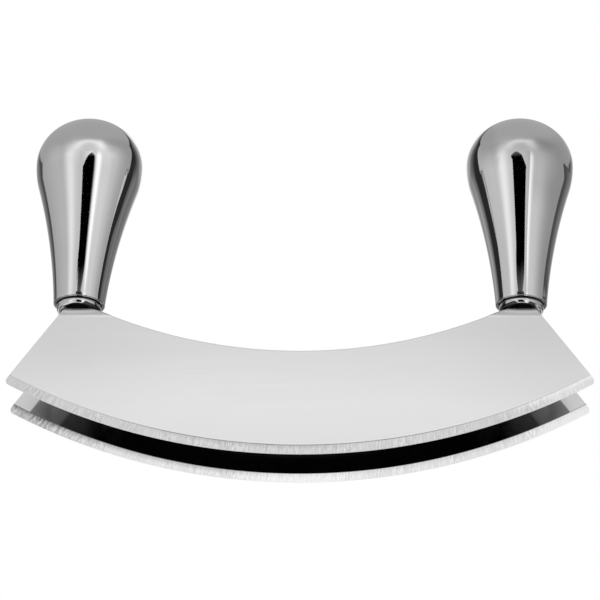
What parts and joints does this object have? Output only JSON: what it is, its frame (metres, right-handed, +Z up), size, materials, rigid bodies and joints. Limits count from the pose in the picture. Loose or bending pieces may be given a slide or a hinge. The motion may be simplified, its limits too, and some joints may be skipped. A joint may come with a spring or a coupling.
{
  "type": "double mezzaluna",
  "caption": "Double mezzaluna: two parallel crescent blades, bent inward under an upright pear-shaped steel grip at each end, rocked to chop herbs.",
  "frame": {"origin": "midway between the lowest points of the two cutting edges, on the plane they stand on", "axes": "+X along the blades from the left grip to the right one, +Y from the front blade to the rear one, +Z up the grips"},
  "size_m": [0.23, 0.0432, 0.1514],
  "materials": {
    "satin_blade_steel": "satin stainless sheet with a fine horizontal grain",
    "polished_steel": "mirror-polished stainless steel",
    "turned_steel": "plain turned steel, hidden"
  },
  "bodies": {
    "root": {"front_blade": "satin_blade_steel", "rear_blade": "satin_blade_steel", "left_handle": "polished_steel", "right_handle": "polished_steel", "left_collar": "polished_steel", "right_collar": "polished_steel", "left_plug": "turned_steel", "right_plug": "turned_steel", "left_tang_pin": "turned_steel", "right_tang_pin": "turned_steel"}
  },
  "joints": []
}
